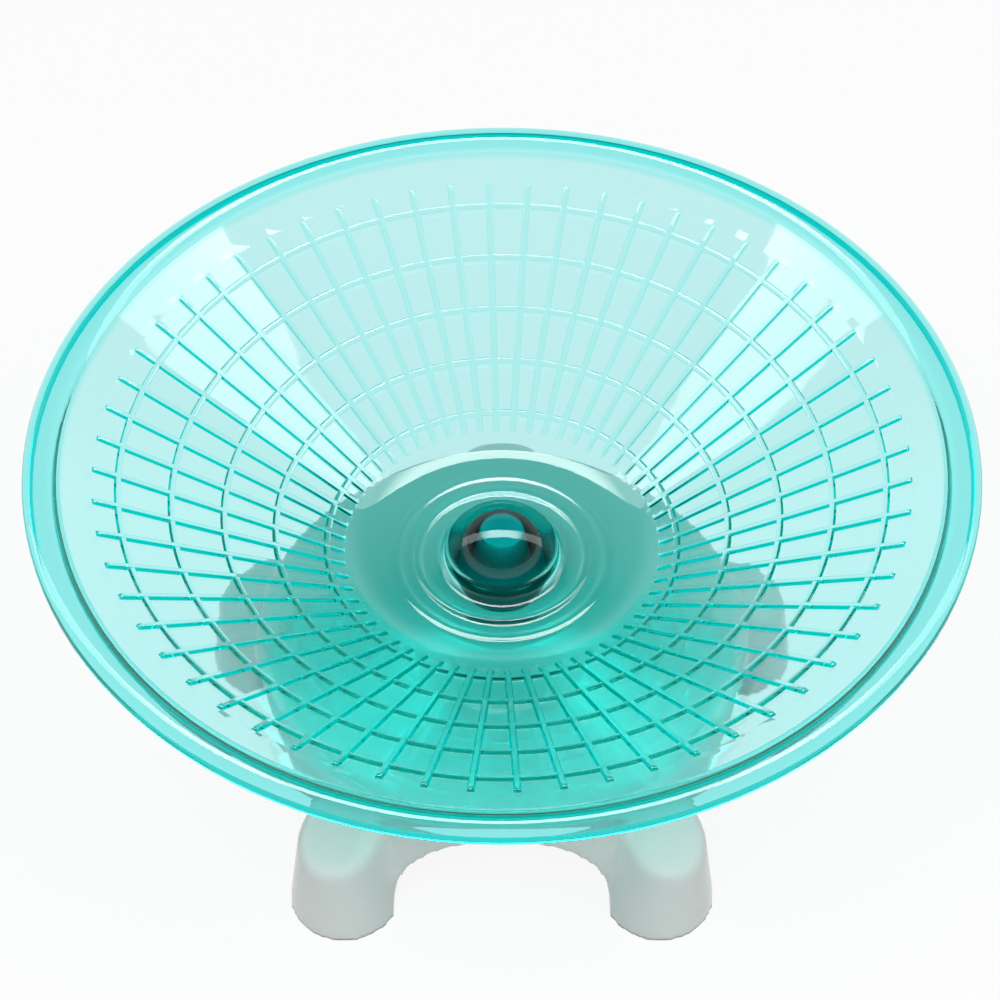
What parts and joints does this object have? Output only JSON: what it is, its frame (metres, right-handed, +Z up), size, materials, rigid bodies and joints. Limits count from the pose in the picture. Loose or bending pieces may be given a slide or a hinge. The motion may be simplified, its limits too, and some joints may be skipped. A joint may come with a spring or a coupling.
{
  "type": "flying saucer running wheel",
  "caption": "Shallow translucent running dish with grip ribs, turning freely on a steel pivot in a low arched stand.",
  "frame": {"origin": "on the floor under the middle of the dish", "axes": "+Z up along the spin axis, -Y towards the gap between the two front legs"},
  "size_m": [0.18, 0.18, 0.0879],
  "materials": {
    "clear_teal": "clear glossy teal",
    "dark_teal": "clear glossy teal, thick",
    "white_nylon": "satin",
    "steel": "ground",
    "frosted_white": "milky satin"
  },
  "bodies": {
    "base": {"stand": "frosted_white", "pivot_pin": "steel"},
    "saucer": {"running_dish": "clear_teal", "hub_plug": "dark_teal", "pivot_bush": "white_nylon"}
  },
  "joints": [
    {"name": "saucer_spin", "type": "hinge", "parent": "base", "child": "saucer", "pos_m": [0, 0, 0.0568], "axis": [0, 0, 1], "continuous": true}
  ]
}
